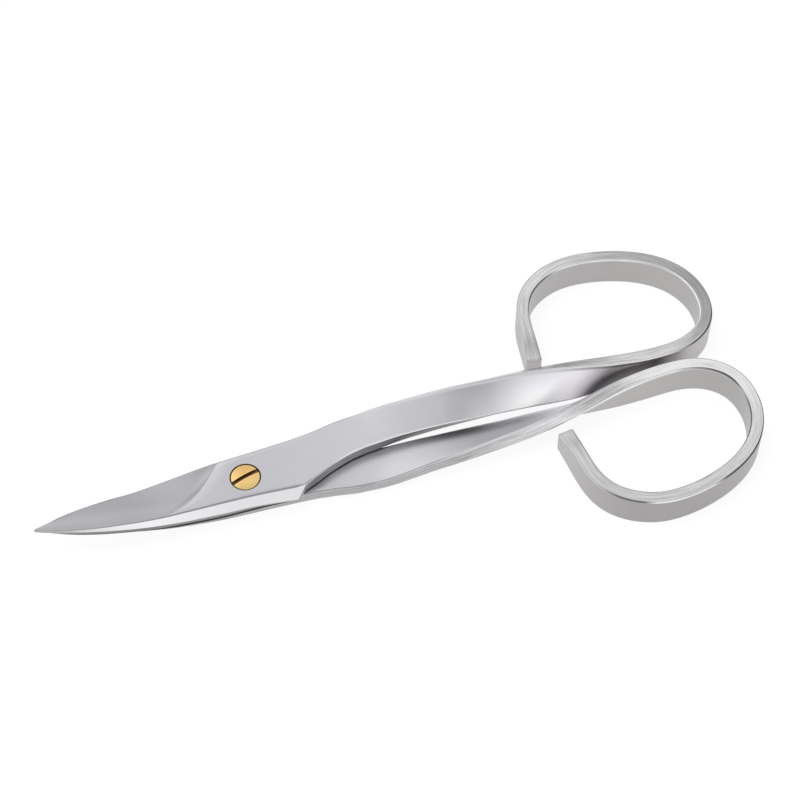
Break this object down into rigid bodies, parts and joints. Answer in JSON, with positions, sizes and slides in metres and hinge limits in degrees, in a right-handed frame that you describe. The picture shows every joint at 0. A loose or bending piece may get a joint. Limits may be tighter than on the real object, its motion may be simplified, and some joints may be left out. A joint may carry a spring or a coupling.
{
  "type": "nail scissors",
  "caption": "Nail scissors with curved pointed blades, twisted strip handles that roll into open finger loops, and a slotted pivot screw.",
  "frame": {"origin": "middle of the pivot screw's flat tail, on the pivot axis, at the back of the scissors", "axes": "+X from the pivot towards the finger loops, +Z along the pivot axis towards the screw's slotted head, +Y towards the thumb half's loop"},
  "size_m": [0.0979, 0.0426, 0.0059],
  "materials": {
    "steel": "fine satin",
    "brass": "polished"
  },
  "bodies": {
    "finger_side": {"finger_half": "steel", "pivot_screw": "brass"},
    "thumb_side": {"thumb_half": "steel"}
  },
  "joints": [
    {"name": "pivot", "type": "hinge", "parent": "finger_side", "child": "thumb_side", "pos_m": [0, 0, 0.00185], "axis": [0, 0, 1], "range_deg": [0, 90]}
  ]
}
